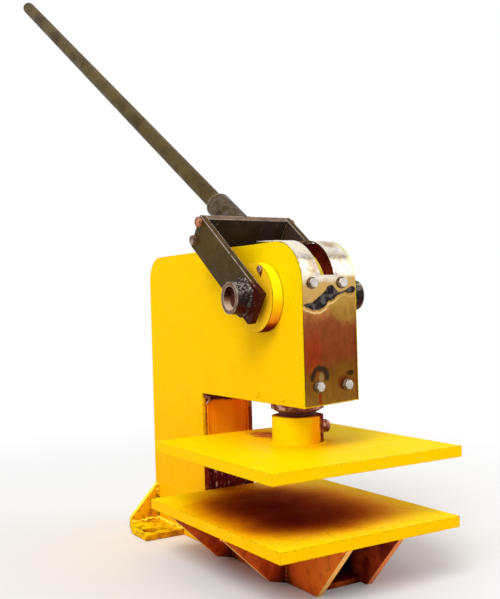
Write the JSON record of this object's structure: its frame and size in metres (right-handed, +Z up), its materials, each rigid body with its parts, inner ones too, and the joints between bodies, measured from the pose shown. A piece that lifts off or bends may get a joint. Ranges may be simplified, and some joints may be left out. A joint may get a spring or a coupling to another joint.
{
  "type": "sole cutting machine",
  "caption": "Hand-lever press for cutting shoe soles: welded C frame, eccentric shaft turned by a forked lever with a long handle, round ram carrying a flat upper plate over a fixed bed.",
  "frame": {"origin": "on the floor plane, midway between the two bolt holes of the rear foot lugs", "axes": "+X to the right of someone facing the press from its open front, +Y to the rear, +Z up"},
  "size_m": [0.333, 1.4825, 1.2809],
  "materials": {
    "yellow_paint": "glossy chrome-yellow enamel, brushed on, worn at the edges",
    "dark_paint": "dark olive-brown paint over rough welded steel",
    "stainless_sheet": "polished stainless sheet",
    "plated_steel": "zinc-plated fasteners, partly rusted",
    "machined_steel": "machined and oiled steel",
    "rusted_steel": "red-brown oxide and rust on turned steel",
    "bronze": "bearing bronze"
  },
  "bodies": {
    "frame": {"left_side_plate": "yellow_paint", "right_side_plate": "yellow_paint", "throat_plate": "yellow_paint", "back_plate": "yellow_paint", "head_floor_plate": "yellow_paint", "bottom_plate": "yellow_paint", "front_plate": "yellow_paint", "guide_block": "yellow_paint", "guide_bush": "rusted_steel", "front_cover": "stainless_sheet", "cover_screws": "plated_steel", "cover_washers": "plated_steel", "bed_plate": "yellow_paint", "left_front_rib": "yellow_paint", "right_front_rib": "yellow_paint", "left_rear_rib": "yellow_paint", "right_rear_rib": "yellow_paint", "left_foot_lug": "yellow_paint", "right_foot_lug": "yellow_paint", "left_lug_gusset": "yellow_paint", "right_lug_gusset": "yellow_paint", "left_bearing_housing": "yellow_paint", "right_bearing_housing": "yellow_paint", "left_bearing_bush": "bronze", "right_bearing_bush": "bronze", "housing_screws": "plated_steel"},
    "lever": {"shaft": "machined_steel", "eccentric": "machined_steel", "eccentric_key": "machined_steel", "spacer_sleeves": "machined_steel", "hub_keys": "machined_steel", "left_arm": "dark_paint", "right_arm": "dark_paint", "left_hub": "dark_paint", "right_hub": "dark_paint", "cross_plate": "dark_paint", "yoke_bolts": "plated_steel", "handle_socket": "dark_paint", "handle": "dark_paint"},
    "block": {"slide_block": "bronze", "block_cheeks": "machined_steel", "cheek_screws": "plated_steel"},
    "ram": {"crosshead": "yellow_paint", "crosshead_pins": "machined_steel", "ram": "machined_steel", "collar": "yellow_paint", "set_bolt": "rusted_steel", "lock_nut": "rusted_steel", "upper_plate": "yellow_paint"}
  },
  "joints": [
    {"name": "lever_swing", "type": "hinge", "parent": "frame", "child": "lever", "pos_m": [0, -0.328, 0.427], "axis": [1, 0, 0], "range_deg": [0, 105]},
    {"name": "block_turn", "type": "hinge", "parent": "lever", "child": "block", "pos_m": [0, -0.33648, 0.43549], "axis": [1, 0, 0], "range_deg": [-105, 0]},
    {"name": "ram_slide", "type": "slide", "parent": "frame", "child": "ram", "axis": [0, 0, -1], "range_m": [0, 0.0189]}
  ],
  "couplings": [
    {"joint": "block_turn", "follows": "lever_swing", "ratio": -1},
    {"joint": "ram_slide", "follows": "lever_swing", "m_per_rad": 0.010301}
  ]
}
